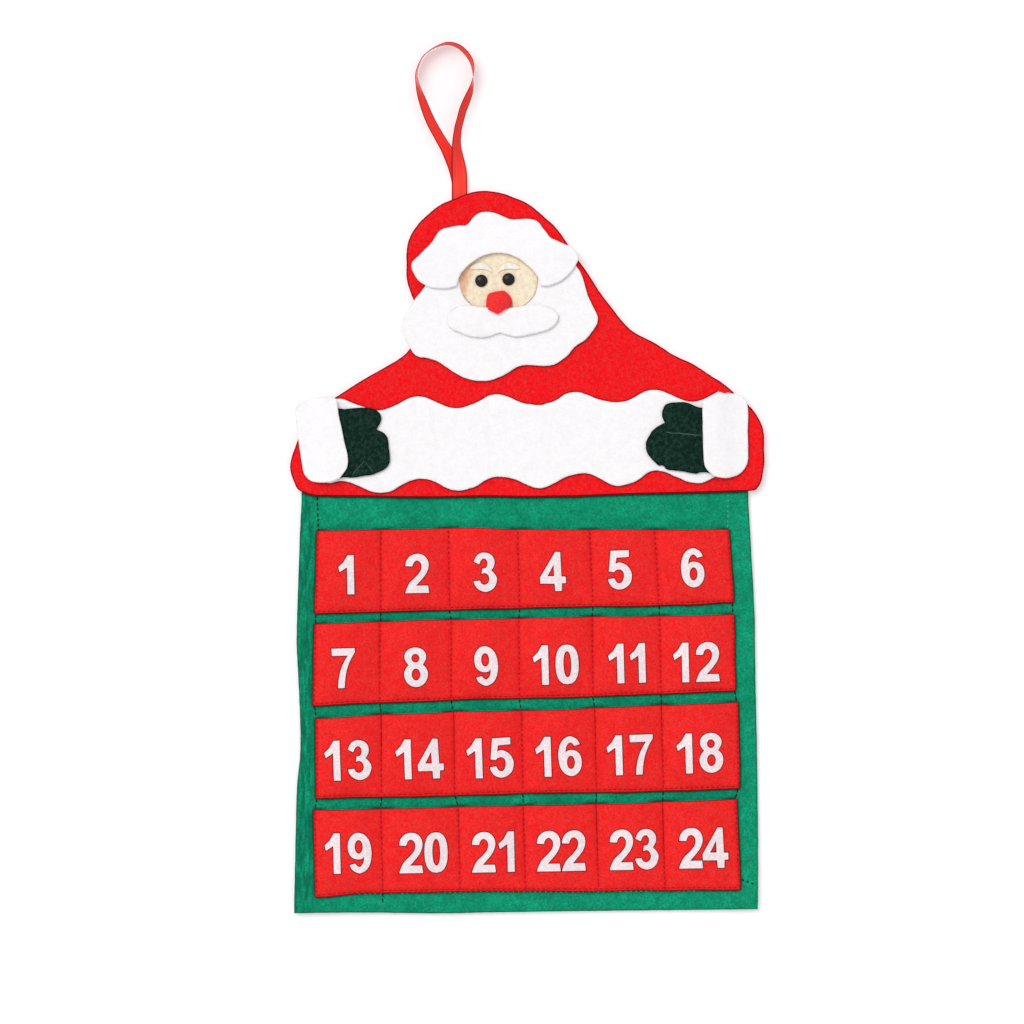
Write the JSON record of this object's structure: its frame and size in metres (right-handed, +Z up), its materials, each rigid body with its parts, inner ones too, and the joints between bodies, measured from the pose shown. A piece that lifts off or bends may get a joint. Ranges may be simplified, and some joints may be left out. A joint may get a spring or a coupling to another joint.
{
  "type": "advent calendar",
  "caption": "Felt wall hanging: a bearded winter figure in a hat leans over a panel with sewn rows of open, numbered pockets, hung from a folding ribbon loop.",
  "frame": {"origin": "the hanging point, where the ribbon loop's top rests on a nail, in the plane of the wall", "axes": "+Z up along the hanging, +X to the viewer's right, -Y towards the viewer; the wall is the plane y = 0"},
  "size_m": [0.3098, 0.0119, 0.5712],
  "materials": {
    "red_felt": "matt needle-punched felt",
    "pocket_felt": "matt thin felt, slightly speckled",
    "green_felt": "matt needle-punched felt",
    "dark_green_felt": "matt thin felt with pale fibres",
    "white_felt": "matt needle-punched felt",
    "skin_cloth": "matt brushed cloth",
    "nose_felt": "matt padded felt",
    "black_bead": "glossy bead",
    "red_satin": "satin ribbon with darker woven edges"
  },
  "bodies": {
    "hanging_loop": {"ribbon_loop": "red_satin"},
    "calendar": {"backing_panel": "green_felt", "pocket_strip_1": "pocket_felt", "pocket_strip_2": "pocket_felt", "pocket_strip_3": "pocket_felt", "pocket_strip_4": "pocket_felt", "robe": "red_felt", "hat_brim": "white_felt", "beard": "white_felt", "face": "skin_cloth", "moustache": "white_felt", "nose": "nose_felt", "eye_left": "black_bead", "eye_right": "black_bead", "eyebrow_left": "white_felt", "eyebrow_right": "white_felt", "robe_trim": "white_felt", "mitten_left": "dark_green_felt", "mitten_right": "dark_green_felt", "cuff_left": "white_felt", "cuff_right": "white_felt", "ribbon_tails": "red_satin"}
  },
  "joints": [
    {"name": "loop_fold", "type": "hinge", "parent": "hanging_loop", "child": "calendar", "pos_m": [0.00862, -0.0016, -0.0963], "axis": [1, 0, 0], "range_deg": [-120, 0]}
  ]
}
